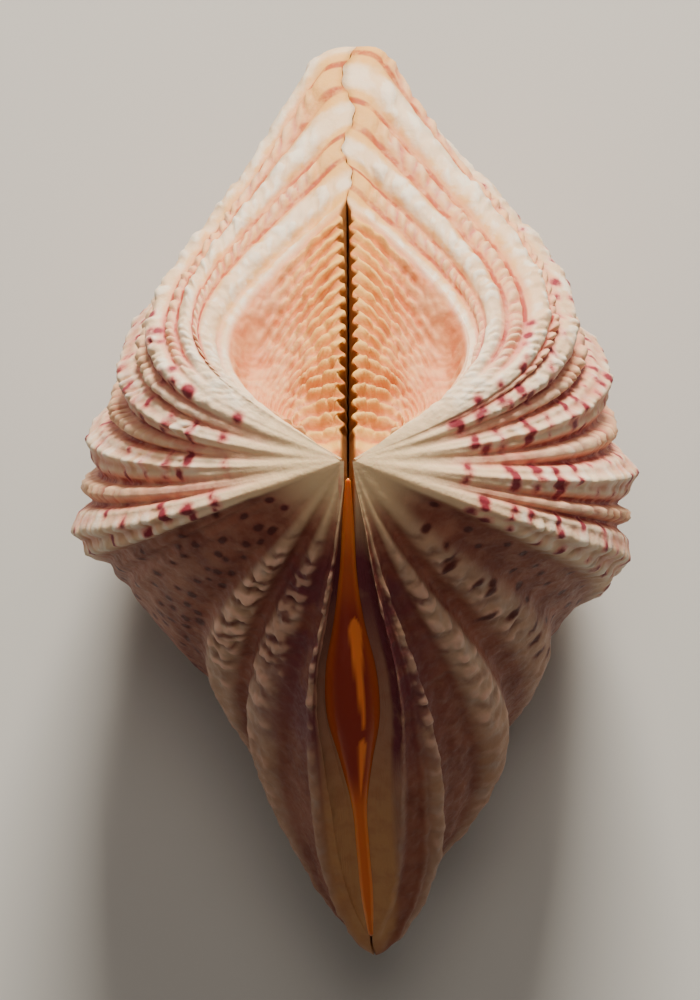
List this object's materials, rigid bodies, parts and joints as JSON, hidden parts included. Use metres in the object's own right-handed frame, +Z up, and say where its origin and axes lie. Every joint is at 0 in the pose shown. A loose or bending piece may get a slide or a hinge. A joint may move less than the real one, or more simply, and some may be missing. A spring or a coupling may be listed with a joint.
{
  "type": "bear paw clam shell",
  "caption": "Closed pair of strongly ribbed clam valves with a sunken heart-shaped lunule, toothed seam and a dried hinge ligament.",
  "frame": {"origin": "centre of the outline on the ground, under the shell standing on its ventral rib tips", "axes": "+Z up, towards the beaks and the hinge; +Y towards the front end with the lunule; +X towards the right-hand valve in the picture"},
  "size_m": [0.123, 0.2012, 0.127],
  "materials": {
    "left_valve": "matte chalky shell, cream with pink furrows and crimson flecks",
    "right_valve": "matte chalky shell, cream with pink furrows and crimson flecks",
    "ligament": "smooth horny orange-brown"
  },
  "bodies": {
    "root": {"left_valve": "left_valve", "right_valve": "right_valve", "ligament": "ligament"}
  },
  "joints": []
}
